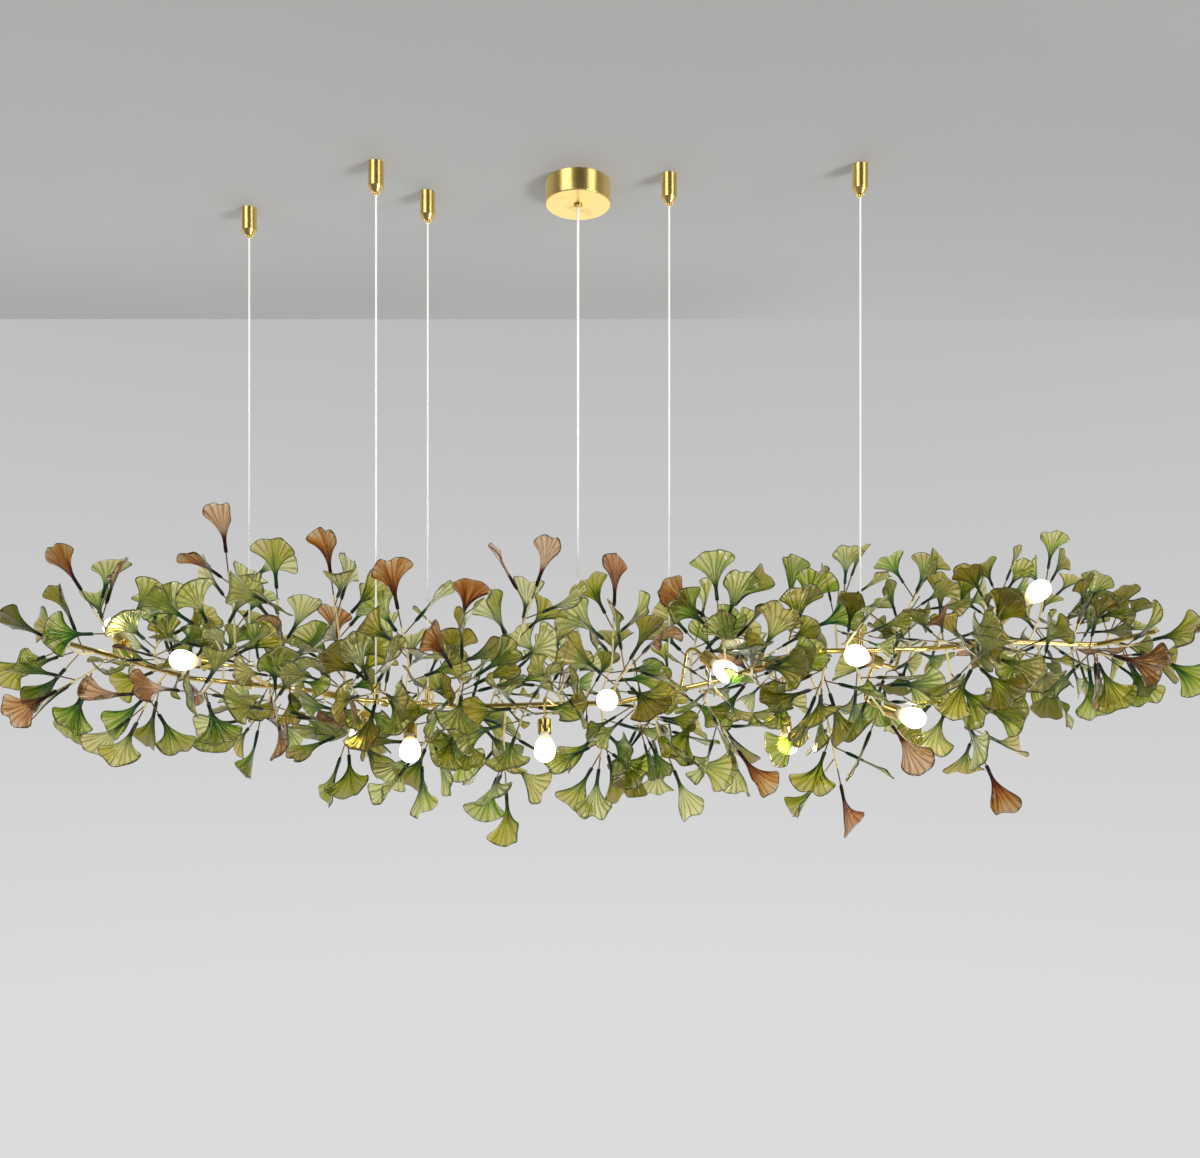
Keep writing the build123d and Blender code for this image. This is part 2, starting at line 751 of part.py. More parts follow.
def fittings_space(hanger_floors):
    space = TakenSpace()
    step = leaf_clearance * 0.5
    for (station, offset), floor in zip(hanger_stations, hanger_floors):
        collar = trunk_at(station)[0]
        space.take(points_between(collar, add(collar, (0, offset, 0)), step))
        space.take(points_between(floor, (floor[0], floor[1], floor[2] + 400), step))
    centre = trunk_at(0.0)[0]
    space.take(points_between(centre, add(centre, (0, 0, 400)), step))
    for station, back, direction in lamp_places():
        take_lamp(space, back, direction)
        start, knee, end = lamp_arm_points(station, back, direction)
        space.take(points_between(start, knee, step) + points_between(knee, end, step))
    return space


def twig_stem(row, space, trunk, rng):
    # a bent wire from the trunk, clear of everything that is taken
    station, target, _, _, small = row
    centre, axis = trunk_at(station)
    leaf_middle = 0.62 * leaf_length * (small_leaf_scale if small else 1.0)
    heading = unit(toward(centre, target))
    end = add(target, scaled(heading, -leaf_middle - side_stem_least))
    for attempt in range(placing_tries):
        bulge = scaled(square_to(random_direction(rng), heading), stem_bulge * (0.6 + attempt * 0.04))
        knee = add(add(centre, scaled(toward(centre, end), 0.5)), bulge)
        start = clear_of_tube(centre, axis, unit(toward(centre, knee)), trunk_d, stem_d)
        route = points_between(start, knee, stem_clearance / 2) + points_between(knee, end, stem_clearance / 2)
        loose = [p for p in route if size_of(toward(centre, p)) > 1.1 * leaf_clearance]
        leaves_trunk = abs(dot(axis, unit(toward(centre, knee)))) < steepest_root
        if leaves_trunk and space.is_free(route, stem_clearance) and trunk.is_free(loose, stem_clearance):
            break
    else:
        print("no clear way for the twig at", station)
    space.take(route)
    return [start, knee, end]


def place_leaf(root, axis, splay, twist, small, space, trunk, clearance, rng):
    # one leaf on its side stem; None when no clear place is found
    scale = small_leaf_scale if small else 1.0
    guide = square_to((0.31, 0.55, 0.77), axis)
    other = cross(axis, guide)
    for attempt in range(placing_tries):
        swing = twist + attempt * 0.37
        lean = splay * rng.uniform(0.8, 1.2)
        out = add(scaled(guide, math.cos(swing)), scaled(other, math.sin(swing)))
        heading = unit(add(scaled(axis, math.cos(lean)), scaled(out, math.sin(lean))))
        start = root if splay < 0.2 else clear_of_tube(root, axis, heading, stem_d, side_stem_d)
        heading = axis if splay < 0.2 else heading
        seat = add(start, scaled(heading, side_stem_least + side_stem_spread * rng.random()))
        face = square_to(add((0.0, -0.9, 0.5), scaled(random_direction(rng), 1.1)), heading)
        rise = rng.choice(cup_rises)
        blade = leaf_points(seat, heading, face, scale, rise)
        wire = points_between(start, seat, 6.0)
        loose = [p for p in wire if size_of(toward(root, p)) > leaf_clearance]
        off_trunk = trunk.is_free(blade) and trunk.is_free(wire, stem_clearance)
        if off_trunk and space.is_free(blade, clearance) and space.is_free(loose, clearance):
            space.take(blade + wire)
            return {"start": start, "seat": seat, "axis": heading, "face": face, "scale": scale, "rise": rise}
    return None


def grow_twigs(plan, space, trunk, clearance, rng):
    # stems first, then every end leaf, then the leaves along each stem from the outside in
    stems = {}
    for section, rows in plan.items():
        stems[section] = [twig_stem(row, space, trunk, rng) for row in rows]
    leaves = {section: [] for section in plan}
    jobs = []
    for section, rows in plan.items():
        for row, points in zip(rows, stems[section]):
            line = bent_line(points, stem_bend_radius)
            for index in range(row[2]):
                at = 1.0 - 0.86 * index / row[2]
                jobs.append((index, section, row, tuple(line @ at), tuple(line % at)))
    golden_turn = math.pi * (3.0 - math.sqrt(5.0))
    for index, section, row, root, axis in sorted(jobs, key=lambda job: job[0]):
        splay = 0.0 if index == 0 else 0.75 + 0.35 * index / row[2]
        twist = index * golden_turn + row[0]
        leaf = place_leaf(root, axis, splay, twist, row[4], space, trunk, clearance, rng)
        if leaf:
            leaf["amber"] = index in row[3]
            leaves[section].append(leaf)
    return stems, leaves


def build_ceiling():
    save("canopy_bracket", [canopy_bracket()])
    save("terminal_block", [terminal_block()])
    save("canopy_cover", [canopy_cover()])
    save("canopy_screws", canopy_screws())
    save("cord_grip", [cord_grip()])
    save("cord_grip_nut", [cord_grip_nut()])


def build_suspension(socket_floors, hub_floor):
    cap, clutch, boss = anchor_cap(), wire_clutch(), anchor_boss()
    tail_end = -cap_height + cap_floor + clutch_flange_height + clutch_tail + wire_tail
    bosses = []
    for number, floor in enumerate(socket_floors, 1):
        place = Pos(floor[0], floor[1], 0)
        bosses.append(place * boss)
        save(f"anchor_cap_{number}", [place * cap])
        save(f"wire_clutch_{number}", [place * clutch])
        save(f"suspension_wire_{number}", [rod(floor, (floor[0], floor[1], tail_end), wire_d)])
        print("anchor", number, [round(c, 3) for c in floor])
    save("anchor_bosses", bosses)
    save("power_cord", [rod(hub_floor, (0, 0, -strap_thickness - terminal_height), cord_d)])


def build_trunk():
    for name, tube in zip(("trunk_left", "trunk_middle", "trunk_right"), trunk_tubes()):
        save(name, [tube])
    screws = []
    for name, run in zip(("coupler_left", "coupler_right"), coupler_runs):
        sleeve, pair = coupler(run)
        save(name, [sleeve])
        screws += pair
    first, last = (trunk_line @ 0, trunk_line % 0), (trunk_line @ 1, trunk_line % 1)
    plugs = [end_plug(tuple(first[0]), tuple(first[1] * -1)), end_plug(tuple(last[0]), tuple(last[1]))]
    save("trunk_end_plugs", plugs)
    hangers = [hanger(*row) for row in hanger_stations]
    save("wire_hangers", [body for body, _, _ in hangers])
    hub, hub_screw, hub_floor = cord_hub()
    save("cord_hub", [hub])
    save("set_screws", screws + [screw for _, screw, _ in hangers] + [hub_screw])
    return [floor for _, _, floor in hangers], hub_floor


def build_lamps():
    cup, socket, capsule = lamp_cup(), lamp_socket(), bulb()
    arms, cups, sockets = [], [], []
    for number, (station, back, direction) in enumerate(lamp_places(), 1):
        place = along(back, direction)
        line = bent_line(lamp_arm_points(station, back, direction), lamp_arm_bend_radius)
        arms.append(tube_along(line, lamp_arm_d))
        cups.append(place * cup)
        sockets.append(place * socket)
        save(f"bulb_{number}", [place * capsule])
        print("lamp", number, [round(c, 4) for c in back + direction])
    save("lamp_arms", arms)
    save("lamp_cups", cups)
    save("lamp_sockets", sockets)


def build_leaves(space):
    masters = {}
    trunk, rng = trunk_space(), random.Random(11)
    stems, leaves = grow_twigs(twig_plan, space, trunk, leaf_clearance, rng)
    short_stems, short_leaves = grow_twigs(short_twig_plan, space, trunk, short_leaf_clearance, rng)
    for section in twig_plan:
        routes = stems[section] + short_stems[section]
        wires = [tube_along(bent_line(points, stem_bend_radius), stem_d) for points in routes]
        green, amber = [], []
        for leaf in leaves[section] + short_leaves[section]:
            wires.append(rod(leaf["start"], leaf["seat"], side_stem_d))
            shape = (leaf["scale"], leaf["rise"])
            if shape not in masters:
                masters[shape] = leaf_solid(*shape)
            place = Plane(origin=leaf["seat"], x_dir=leaf["axis"], z_dir=leaf["face"]).location
            (amber if leaf["amber"] else green).append(masters[shape].moved(place))
        save(f"twigs_{section}", wires)
        save(f"green_leaves_{section}", green)
        save(f"amber_leaves_{section}", amber)


build_ceiling()
floors, cord_floor = build_trunk()
build_suspension(floors, cord_floor)
build_lamps()
build_leaves(fittings_space(floors))
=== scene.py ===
import bpy
import bmesh
import json
import math
import random
from mathutils import Matrix, Vector
from mathutils.kdtree import KDTree


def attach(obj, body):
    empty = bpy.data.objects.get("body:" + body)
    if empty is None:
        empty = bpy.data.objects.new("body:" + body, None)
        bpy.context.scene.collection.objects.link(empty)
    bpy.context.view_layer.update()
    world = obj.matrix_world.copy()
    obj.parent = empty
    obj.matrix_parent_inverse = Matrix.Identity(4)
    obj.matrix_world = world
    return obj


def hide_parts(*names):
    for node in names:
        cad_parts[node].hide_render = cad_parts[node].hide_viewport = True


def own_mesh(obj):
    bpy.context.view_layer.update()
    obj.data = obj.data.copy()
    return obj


# Glass leaf chandelier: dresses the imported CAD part.
# Metres, +Z up, the ceiling is at Z = 0 and the viewer stands on the -Y side.

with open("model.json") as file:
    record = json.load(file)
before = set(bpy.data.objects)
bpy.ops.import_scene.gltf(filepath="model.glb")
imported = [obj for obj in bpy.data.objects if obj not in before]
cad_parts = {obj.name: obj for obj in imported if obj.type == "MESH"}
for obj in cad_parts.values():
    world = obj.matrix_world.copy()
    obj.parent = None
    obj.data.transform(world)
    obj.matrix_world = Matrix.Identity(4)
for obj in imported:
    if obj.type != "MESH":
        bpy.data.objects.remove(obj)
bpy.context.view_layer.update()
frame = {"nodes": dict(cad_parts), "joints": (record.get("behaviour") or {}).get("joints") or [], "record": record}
nodes = frame["nodes"]
scene = bpy.context.scene
scene.view_settings.view_transform = "Standard"
print("frame loaded:", len(nodes), "CAD nodes")


def addObject(name, data):
    made = bpy.data.objects.new(name, data)
    scene.collection.objects.link(made)
    return made


mixSocket = {"share": 0, "first": 6, "second": 7, "result": 2}   # places of a Mix node's colour sockets
perMetre = 1000                                       # the sizes of leaf and bulb are in millimetres


class Shade:
    # one output socket of a node tree; arithmetic on it adds Math nodes
    def __init__(self, tree, socket=None):
        self.tree, self.socket = tree, socket

    def node(self, kind, settings=None, inputs=None, out=0):
        made = self.tree.nodes.new("ShaderNode" + kind)
        for name, value in (settings or {}).items():
            if name == "stops":
                self.setStops(made.color_ramp, value)
            else:
                setattr(made, name, value)
        for name, value in (inputs or {}).items():
            if isinstance(value, Shade):
                self.tree.links.new(value.socket, made.inputs[name])
            else:
                made.inputs[name].default_value = value
        return Shade(self.tree, made.outputs[out])

    def setStops(self, ramp, stops):
        while len(ramp.elements) < len(stops):
            ramp.elements.new(1.0)
        for element, (place, colour) in zip(ramp.elements, stops):
            element.position = place
            element.color = (*colour, 1.0)

    def math(self, operation, *values):
        return self.node("Math", {"operation": operation}, dict(enumerate(values)))

    def __add__(self, other):
        return self.math("ADD", self, other)

    def __radd__(self, other):
        return self.math("ADD", other, self)

    def __sub__(self, other):
        return self.math("SUBTRACT", self, other)

    def __rsub__(self, other):
        return self.math("SUBTRACT", other, self)

    def __mul__(self, other):
        return self.math("MULTIPLY", self, other)

    def __rmul__(self, other):
        return self.math("MULTIPLY", other, self)

    def __abs__(self):
        return self.math("ABSOLUTE", self)

    def sine(self):
        return self.math("SINE", self)

    def atLeast(self, other):
        return self.math("MAXIMUM", self, other)

    def atMost(self, other):
        return self.math("MINIMUM", self, other)

    def step(self, low, high):
        # 0 below low, 1 above high, smooth between
        return self.node("MapRange", {"interpolation_type": "SMOOTHSTEP"},
                         {"Value": self, "From Min": low, "From Max": high})

    def ramp(self, stops):
        return self.node("ValToRGB", {"stops": stops}, {"Fac": self})

    def mix(self, first, second, blend="MIX"):
        # self is the share of the second colour
        first, second = (colour if isinstance(colour, Shade) else (*colour, 1.0) for colour in (first, second))
        return self.node("Mix", {"data_type": "RGBA", "blend_type": blend},
                         {mixSocket["share"]: self, mixSocket["first"]: first, mixSocket["second"]: second},
                         out=mixSocket["result"])


def noise(shade, place, scale, detail=3.0):
    return shade.node("TexNoise", None, {"Vector": place, "Scale": scale, "Detail": detail})


def bump(shade, height, strength, distance):
    return shade.node("Bump", None, {"Height": height, "Strength": strength, "Distance": distance})


def makeFinish(name, fixed, paint):
    material = bpy.data.materials.new(name)
    material.use_nodes = True
    tree = material.node_tree
    surface = tree.nodes["Principled BSDF"]
    for socket, value in fixed.items():
        surface.inputs[socket].default_value = value
    for socket, shade in paint(Shade(tree)).items():
        tree.links.new(shade.socket, surface.inputs[socket])
    return material


# Camera, floor, lamps of the studio and the grey room behind

camera = {"place": (0.033, -1.5465, -0.774), "lens": 30.93, "sensor": 36.0,
          "lift": 121 / 1200}                         # eye level is this far under the picture's middle
studio = {
    "floorZ": -2.4, "floorRadius": 2.0, "floorSegments": 96, "floorColour": (0.72, 0.72, 0.72),
    "ceilingZ": 0.0004, "ceilingX": (-4.0, 4.0), "ceilingY": (-5.0, 0.55), "ceilingColour": (0.465, 0.465, 0.465),
    "ceilingTone": {"middle": 1.02, "alongX": -0.14, "alongY": 0.27, "least": 0.86, "most": 1.16},   # per metre
    "ambient": (0.66, 0.66, 0.66),
    "wall": [(0.0, (0.76, 0.76, 0.76)), (0.38, (0.71, 0.71, 0.71)), (0.58, (0.57, 0.57, 0.57)),
             (0.68, (0.50, 0.50, 0.50)), (1.0, (0.44, 0.44, 0.44))],
    "lamps": [                                        # name, place, aim, width, height, watts
        ("keyLamp", (-2.0, -2.4, 0.5), (-0.1, 0.0, -0.6), 1.7, 3.4, 44.0),
        ("fillLamp", (2.4, -2.0, 0.4), (0.1, 0.0, -0.6), 1.2, 3.4, 28.0),
        ("backLamp", (0.2, 2.9, -1.4), (0.0, 0.0, -0.4), 4.0, 1.6, 15.0),
        ("lowLamp", (3.4, -2.2, -3.5), (0.0, 0.0, -0.1), 1.4, 1.4, 110.0),
        ("leftSpark", (-1.1, -2.3, 0.3), (0.0, 0.0, -0.7), 0.22, 0.22, 7.0),
        ("rightSpark", (1.5, -2.1, -0.3), (0.0, 0.0, -0.7), 0.22, 0.22, 6.0),
    ],
    "cloudScale": 1.5, "cloudDark": 0.96, "roughness": 0.8,   # of floor and ceiling
    "frontDim": 0.16, "frontFade": (-0.5, 0.4),       # the room behind the camera, as metal and glass mirror it
}


def setCamera():
    lens = bpy.data.cameras.new("camera")
    lens.lens, lens.sensor_width, lens.shift_y = camera["lens"], camera["sensor"], camera["lift"]
    made = addObject("camera", lens)
    made.location = camera["place"]
    made.rotation_euler = (math.radians(90), 0, 0)
    scene.camera = made


def setWorld():
    world = bpy.data.worlds.new("room")
    scene.world = world
    world.use_nodes = True
    shade = Shade(world.node_tree)
    gaze = shade.node("TexCoord", out="Generated")
    height = shade.node("SeparateXYZ", None, {0: gaze}, out="Z")
    depth = shade.node("SeparateXYZ", None, {0: gaze}, out="Y")
    wall = (height * 0.5 + 0.5).ramp(studio["wall"])
    straight, mirrored, through = (shade.node("LightPath", out="Is " + ray + " Ray")
                                   for ray in ("Camera", "Glossy", "Transmission"))
    front = (1 - depth.step(*studio["frontFade"])) * mirrored * (1 - straight) * (1 - through)
    wall = (front * (1 - studio["frontDim"])).mix(wall, (0.0, 0.0, 0.0))
    colour = straight.atLeast(mirrored).atLeast(through).mix(studio["ambient"], wall)
    world.node_tree.links.new(colour.socket, world.node_tree.nodes["Background"].inputs["Color"])


def plainColour(shade, pale):
    cloud = noise(shade, shade.node("TexCoord", out="Object"), studio["cloudScale"])
    return cloud.mix(pale, [channel * studio["cloudDark"] for channel in pale])


def floorPaint(shade):
    return {"Base Color": plainColour(shade, studio["floorColour"])}


def ceilingPaint(shade):
    # a little darker on the side of the low lamp, so that the ceiling looks even
    tone = studio["ceilingTone"]
    x, y = (shade.node("SeparateXYZ", None, {0: shade.node("TexCoord", out="Object")}, out=axis) for axis in "XY")
    share = (tone["middle"] + x * tone["alongX"] + y * tone["alongY"]).atLeast(tone["least"]).atMost(tone["most"])
    return {
        "Base Color": shade.node("VectorMath", {"operation": "SCALE"},
                                 {0: plainColour(shade, studio["ceilingColour"]), "Scale": share}),
        "Alpha": 1 - shade.node("NewGeometry", out="Backfacing"),
    }


def setFloor():
    bm = bmesh.new()
    bmesh.ops.create_circle(bm, cap_ends=True, segments=studio["floorSegments"],
                            radius=studio["floorRadius"])
    bmesh.ops.translate(bm, vec=(0, 0, studio["floorZ"]), verts=bm.verts)
    mesh = bpy.data.meshes.new("floor")
    bm.to_mesh(mesh)
    bm.free()
    mesh.materials.append(makeFinish("paleFloor", {"Roughness": studio["roughness"]}, floorPaint))
    addObject("floor", mesh)


def setCeiling():
    # seen from below only, so that a view from above looks through it
    (left, right), (near, far) = studio["ceilingX"], studio["ceilingY"]
    bm = bmesh.new()
    bmesh.ops.create_grid(bm, x_segments=1, y_segments=1, size=0.5)
    bmesh.ops.scale(bm, vec=(right - left, far - near, 1), verts=bm.verts)
    bmesh.ops.translate(bm, vec=((left + right) / 2, (near + far) / 2, studio["ceilingZ"]), verts=bm.verts)
    bmesh.ops.reverse_faces(bm, faces=bm.faces)
    mesh = bpy.data.meshes.new("ceiling")
    bm.to_mesh(mesh)
    bm.free()
    mesh.materials.append(makeFinish("paleCeiling", {"Roughness": studio["roughness"]}, ceilingPaint))
    made = addObject("ceiling", mesh)
    made.visible_glossy = made.visible_shadow = False


def setLamps():
    for name, place, aim, width, height, watts in studio["lamps"]:
        light = bpy.data.lights.new(name, "AREA")
        light.shape, light.size, light.size_y, light.energy = "RECTANGLE", width, height, watts
        made = addObject(name, light)
        made.location = place
        made.rotation_euler = (Vector(aim) - Vector(place)).to_track_quat("-Z", "Y").to_euler()
        made.visible_camera = made.visible_transmission = False


setCamera()
setWorld()
setFloor()
setCeiling()
setLamps()
print("studio set")


# Finishes of metal, wire, ceramic and lamp

brass = {
    "polished": {"colour": (0.87, 0.66, 0.23), "dark": (0.72, 0.50, 0.15), "rough": (0.08, 0.15), "scratch": 0.015},
    "satin": {"colour": (0.80, 0.57, 0.19), "dark": (0.52, 0.33, 0.09), "rough": (0.20, 0.34), "scratch": 0.08},
    "wire": {"colour": (0.80, 0.58, 0.18), "dark": (0.46, 0.29, 0.08), "rough": (0.22, 0.38), "scratch": 0.08},
    "cloud": {"scale": 38.0, "detail": 4.0}, "fine": {"scale": 420.0, "detail": 2.0},
    "stained": (0.56, 0.80), "stainShare": 0.7,       # where the cloud is a stain, and how far it darkens
    "cloudShare": 0.6, "depth": 0.0004,               # of the roughness, against the fine noise; of the scratches
}


def unevenly(ends, cloud, fine):
    low, high = ends
    return low + (high - low) * (cloud * brass["cloudShare"] + fine * (1 - brass["cloudShare"]))


def brassFinish(name, look):
    def paint(shade):
        place = shade.node("TexCoord", out="Object")
        cloud = noise(shade, place, **brass["cloud"])
        fine = noise(shade, place, **brass["fine"])
        return {
            "Base Color": (cloud.step(*brass["stained"]) * brass["stainShare"]).mix(look["colour"], look["dark"]),
            "Roughness": unevenly(look["rough"], cloud, fine),
            "Normal": bump(shade, fine, look["scratch"], brass["depth"]),
        }
    return makeFinish(name, {"Metallic": 1.0}, paint)


steel = {
    "pale": (0.66, 0.66, 0.65), "dark": (0.48, 0.49, 0.50), "darkShare": 0.5,
    "flakes": 160.0, "grain": 300.0, "rough": (0.26, 0.16),   # the least roughness, and how much the flakes add
    "scratch": 0.05, "depth": 0.0004,
}


def steelPaint(shade):
    place = shade.node("TexCoord", out="Object")
    flake = shade.node("TexVoronoi", None, {"Vector": place, "Scale": steel["flakes"]}, out="Color")
    grain = noise(shade, place, steel["grain"])
    least, more = steel["rough"]
    return {
        "Base Color": (grain * steel["darkShare"]).mix(steel["pale"], steel["dark"]),
        "Roughness": least + more * shade.node("SeparateColor", None, {0: flake}),
        "Normal": bump(shade, grain, steel["scratch"], steel["depth"]),
    }


sheath = {
    "pale": (0.96, 0.96, 0.95), "dull": (0.89, 0.89, 0.87), "cloud": 22.0, "rough": (0.36, 0.2),
    "rings": {"Scale": 170.0, "Distortion": 1.4, "Detail": 1.0}, "relief": 0.06, "depth": 0.0003,
    "wireCoat": 0.2, "cordCoat": 0.1,
}


def sheathPaint(shade):
    place = shade.node("TexCoord", out="Object")
    cloud = noise(shade, place, sheath["cloud"])
    ring = shade.node("TexWave", {"bands_direction": "Z", "wave_profile": "SIN"},
                      {"Vector": place, **sheath["rings"]})
    least, more = sheath["rough"]
    return {
        "Base Color": cloud.mix(sheath["pale"], sheath["dull"]),
        "Roughness": least + more * cloud,
        "Normal": bump(shade, ring, sheath["relief"], sheath["depth"]),
    }


ceramic = {
    "pale": (0.86, 0.84, 0.80), "dark": (0.76, 0.73, 0.67), "darkShare": 0.6,
    "cloud": {"scale": 90.0, "detail": 5.0}, "speck": {"scale": 900.0, "detail": 2.0},
    "rough": (0.45, 0.25), "relief": 0.1, "depth": 0.0003,
}


def ceramicPaint(shade):
    place = shade.node("TexCoord", out="Object")
    cloud = noise(shade, place, **ceramic["cloud"])
    speck = noise(shade, place, **ceramic["speck"])
    least, more = ceramic["rough"]
    return {
        "Base Color": (cloud * ceramic["darkShare"]).mix(ceramic["pale"], ceramic["dark"]),
        "Roughness": least + more * cloud,
        "Normal": bump(shade, speck, ceramic["relief"], ceramic["depth"]),
    }


frosted = {                                           # colours from the neck of the bulb to its crown
    "body": [(0.0, (0.80, 0.72, 0.58)), (0.4, (0.96, 0.93, 0.86)), (1.0, (0.97, 0.96, 0.93))],
    "glow": [(0.0, (0.05, 0.03, 0.008)), (0.18, (0.16, 0.11, 0.045)), (0.42, (0.80, 0.70, 0.50)),
             (0.65, (1.0, 0.96, 0.86)), (1.0, (1.0, 0.95, 0.84))],
    "strength": 8.0, "frost": {"scale": 700.0, "detail": 2.0}, "rough": (0.4, 0.2), "relief": 0.12, "depth": 0.0003,
}


def bulbPaint(shade):
    spot = shade.node("UVMap", {"uv_map": "UVMap"})
    along = shade.node("SeparateXYZ", None, {0: spot}, out="Y")
    frost = noise(shade, shade.node("TexCoord", out="Object"), **frosted["frost"])
    least, more = frosted["rough"]
    return {
        "Base Color": along.ramp(frosted["body"]),
        "Emission Color": along.ramp(frosted["glow"]),
        "Roughness": least + more * frost,
        "Normal": bump(shade, frost, frosted["relief"], frosted["depth"]),
    }


finishes = {
    "polished_brass": brassFinish("polishedBrass", brass["polished"]),
    "satin_brass": brassFinish("satinBrass", brass["satin"]),
    "brass_wire": brassFinish("brassWire", brass["wire"]),
    "plated_steel": makeFinish("platedSteel", {"Metallic": 1.0}, steelPaint),
    "white_wire": makeFinish("whiteWire", {"Coat Weight": sheath["wireCoat"]}, sheathPaint),
    "white_cord": makeFinish("whiteCord", {"Coat Weight": sheath["cordCoat"]}, sheathPaint),
    "white_insulator": makeFinish("whiteCeramic", {}, ceramicPaint),
    "frosted_bulb": makeFinish("frostedBulb", {"Emission Strength": frosted["strength"]}, bulbPaint),
}
slotOf = {row["node"]: row["material_slot"] for row in frame["record"]["subparts"]}
for name, node in nodes.items():
    if slotOf[name] in finishes:
        node.data.materials.clear()
        node.data.materials.append(finishes[slotOf[name]])
print("CAD nodes painted")


# Suspension wires and power cord: taut lines from the ceiling fittings to the branch

hanging = {
    "wire": {"slot": "white_wire", "diameter": 0.0028, "stiffness": "stiff"},
    "cord": {"slot": "white_cord", "diameter": 0.0038, "stiffness": "medium"},
    "points": 4, "order": 3, "stepsBetween": 6, "roundness": 4,   # of the curve, and of the tube around it
}
liftJoint = next(joint for joint in frame["joints"] if joint["name"] == "height_adjust")


def lineEnds(node):
    # top and foot of an upright CAD line, from its box
    corners = [vert.co for vert in node.data.vertices]
    low, high = (Vector([pick(co[axis] for co in corners) for axis in range(3)]) for pick in (min, max))
    middle = (low + high) / 2
    return Vector((middle.x, middle.y, high.z)), Vector((middle.x, middle.y, low.z))


def tautLine(name, node, look):
    top, foot = lineEnds(nodes[node])
    line = bpy.data.curves.new(name + "Line", "CURVE")
    line.dimensions = "3D"
    spline = line.splines.new("NURBS")
    spline.points.add(hanging["points"] - 1)
    for i, point in enumerate(spline.points):
        point.co = (*top.lerp(foot, i / (hanging["points"] - 1)), 1.0)
    spline.order_u = hanging["order"]
    spline.use_endpoint_u = True
    spline.resolution_u = hanging["stepsBetween"]
    holder = addObject(name + "Line", line)
    bpy.context.view_layer.update()
    track = bpy.data.meshes.new_from_object(holder)
    path = [tuple(vert.co) for vert in track.vertices]
    line.bevel_depth = look["diameter"] / 2
    line.bevel_resolution = hanging["roundness"]
    line.use_fill_caps = True
    bpy.context.view_layer.update()
    mesh = bpy.data.meshes.new_from_object(holder.evaluated_get(bpy.context.evaluated_depsgraph_get()))
    bpy.data.objects.remove(holder)
    mesh.materials.clear()
    mesh.materials.append(finishes[look["slot"]])
    for face in mesh.polygons:
        face.use_smooth = True
    piece = addObject(name, mesh)
    length = (top - foot).length
    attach(piece, "ceiling")
    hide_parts(node)
    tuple(liftJoint["axis"])
    tuple(top)
    (length - liftJoint["range_m"][1]) / length
    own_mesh(piece)
    tuple(path[0])


for i in range(1, 1 + sum(name.startswith("suspension_wire_") for name in nodes)):
    tautLine(f"suspensionWire{i}", f"suspension_wire_{i}", hanging["wire"])
tautLine("powerCord", "power_cord", hanging["cord"])
print("wires and cord hung")


# Twigs: the CAD wires again, with the thin side stems darker than the twigs that carry them, which are pale with a
# painted sheen

twig = {
    "thickRadius": (0.0011, 0.0014),                  # a wire counts as thin below, as thick above
    # the pale colour of the thick twigs is a painted sheen, standing in for a bright room mirrored in satin brass
    "thick": (0.95, 0.83, 0.46), "thin": (0.26, 0.17, 0.06), "stain": (0.50, 0.34, 0.11), "rough": (0.24, 0.42),
    "metal": (1.0, 0.45),                             # bare thin wire, and the thick wire less metallic, so that its pale colour, a painted sheen, shows
    "cloud": {"scale": 46.0, "detail": 4.0}, "fine": {"scale": 520.0, "detail": 2.0},
    "stained": (0.55, 0.8), "stainShare": 0.5, "scratch": 0.08, "depth": 0.0004,
    "sharp": 50.0,                                    # an edge stays sharp from this many degrees on
}
weldDistance = 1e-5                                   # joins the corners of a CAD mesh


def mergedCopy(node):
    bm = bmesh.new()
    bm.from_mesh(node.data)
    bmesh.ops.remove_doubles(bm, verts=bm.verts, dist=weldDistance)
    bm.verts.index_update()
    return bm


def islandsOf(bm):
    seen = set()
    for start in bm.verts:
        if start.index in seen:
            continue
        seen.add(start.index)
        island = [start]
        for vert in island:                           # the island grows while it is walked
            for edge in vert.link_edges:
                other = edge.other_vert(vert)
                if other.index not in seen:
                    seen.add(other.index)
                    island.append(other)
        yield island


def wireRadius(island):
    # twice the volume over the surface, which is the radius of a long rod
    faces = {face for vert in island for face in vert.link_faces}
    area = volume = 0.0
    for face in faces:
        first, second, third = (vert.co - island[0].co for vert in face.verts[:3])
        area += face.calc_area()
        volume += first.dot(second.cross(third)) / 6
    return 2 * abs(volume) / area


def twigPaint(shade):
    place = shade.node("TexCoord", out="Object")
    thick = shade.node("Attribute", {"attribute_name": "thick"}, out="Fac")
    cloud = noise(shade, place, **twig["cloud"])
    fine = noise(shade, place, **twig["fine"])
    bare, thickMetallic = twig["metal"]
    body = thick.mix(twig["thin"], twig["thick"])
    return {
        "Base Color": (cloud.step(*twig["stained"]) * twig["stainShare"]).mix(body, twig["stain"]),
        "Metallic": bare + (thickMetallic - bare) * thick,
        "Roughness": unevenly(twig["rough"], cloud, fine),
        "Normal": bump(shade, fine, twig["scratch"], twig["depth"]),
    }


def dressTwigs(name, node, finish):
    bm = mergedCopy(nodes[node])
    thick = bm.verts.layers.float.new("thick")
    low, high = twig["thickRadius"]
    for island in islandsOf(bm):
        share = min(1.0, max(0.0, (wireRadius(island) - low) / (high - low)))
        for vert in island:
            vert[thick] = share
    for face in bm.faces:
        face.smooth = True
    for edge in bm.edges:
        edge.smooth = len(edge.link_faces) == 2 and edge.calc_face_angle(0) < math.radians(twig["sharp"])
    mesh = bpy.data.meshes.new(name)
    bm.to_mesh(mesh)
    bm.free()
    mesh.materials.append(finish)
    piece = addObject(name, mesh)
    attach(piece, "branch")
    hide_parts(node)


